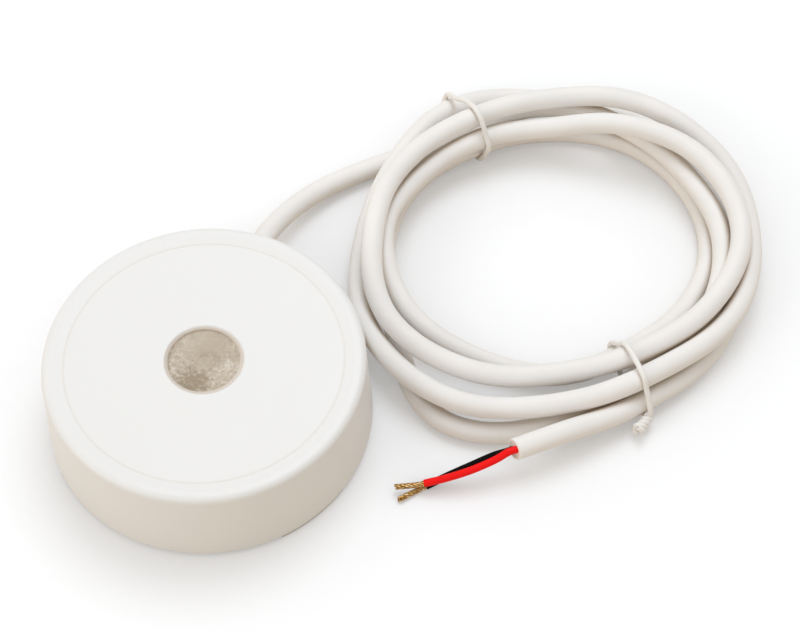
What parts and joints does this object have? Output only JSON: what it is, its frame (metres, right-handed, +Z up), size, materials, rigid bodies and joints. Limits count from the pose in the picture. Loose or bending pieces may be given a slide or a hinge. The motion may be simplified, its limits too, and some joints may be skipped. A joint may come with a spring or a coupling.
{
  "type": "water leak sensor",
  "caption": "Round wired water leak sensor: white body with a frosted window in its lift-off cover, contacts under the base, and a tied coil of cable with stripped ends.",
  "frame": {"origin": "the middle of the body's underside, on the floor it stands on", "axes": "+Z is up through the window, +Y points to the back where the cable leaves, and +X points to the coil's side"},
  "size_m": [0.1252, 0.0972, 0.0174],
  "materials": {
    "cover_white": "fine matte moulding",
    "lens_frost": "frosted, translucent",
    "base_white": "matte moulding",
    "soft_white": "matte, flexible",
    "gasket_grey": "matte",
    "foot_grey": "matte",
    "board_green": "solder mask",
    "screw_steel": "plain",
    "contact_steel": "polished",
    "light_clear": "clear",
    "chip_black": "moulded",
    "tinned": "tinned",
    "ceramic_tan": "fired",
    "sleeve_blue": "shrunk sleeve",
    "jacket_white": "soft, satin",
    "core_red": "satin",
    "core_black": "satin",
    "copper": "bare strands",
    "tie_white": "satin"
  },
  "bodies": {
    "sensor": {"base_plate": "base_white", "rim_gasket": "gasket_grey", "foot_pads": "foot_grey", "circuit_board": "board_green", "board_screws": "screw_steel", "contact_screws": "contact_steel", "contact_nuts": "screw_steel", "status_led": "light_clear", "sensing_chip": "chip_black", "chip_legs": "tinned", "chip_resistors": "chip_black", "chip_capacitors": "ceramic_tan", "part_terminals": "tinned", "filter_capacitor": "sleeve_blue", "output_transistor": "chip_black", "transistor_legs": "tinned", "solder_joints": "tinned", "inner_red_wire": "core_red", "inner_black_wire": "core_black", "cable_entry": "jacket_white", "cable_clamp": "base_white", "clamp_screws": "screw_steel", "cable_grommet": "soft_white", "cable_lead": "jacket_white", "cable_coil": "jacket_white", "cable_tail": "jacket_white", "back_tie": "tie_white", "front_tie": "tie_white", "red_core": "core_red", "black_core": "core_black", "red_copper": "copper", "black_copper": "copper"},
    "cover": {"top_cover": "cover_white", "window_lens": "lens_frost", "lens_retainer": "base_white"}
  },
  "joints": [
    {"name": "cover_lift", "type": "slide", "parent": "sensor", "child": "cover", "axis": [0, 0, 1], "range_m": [0, 0.02]}
  ]
}
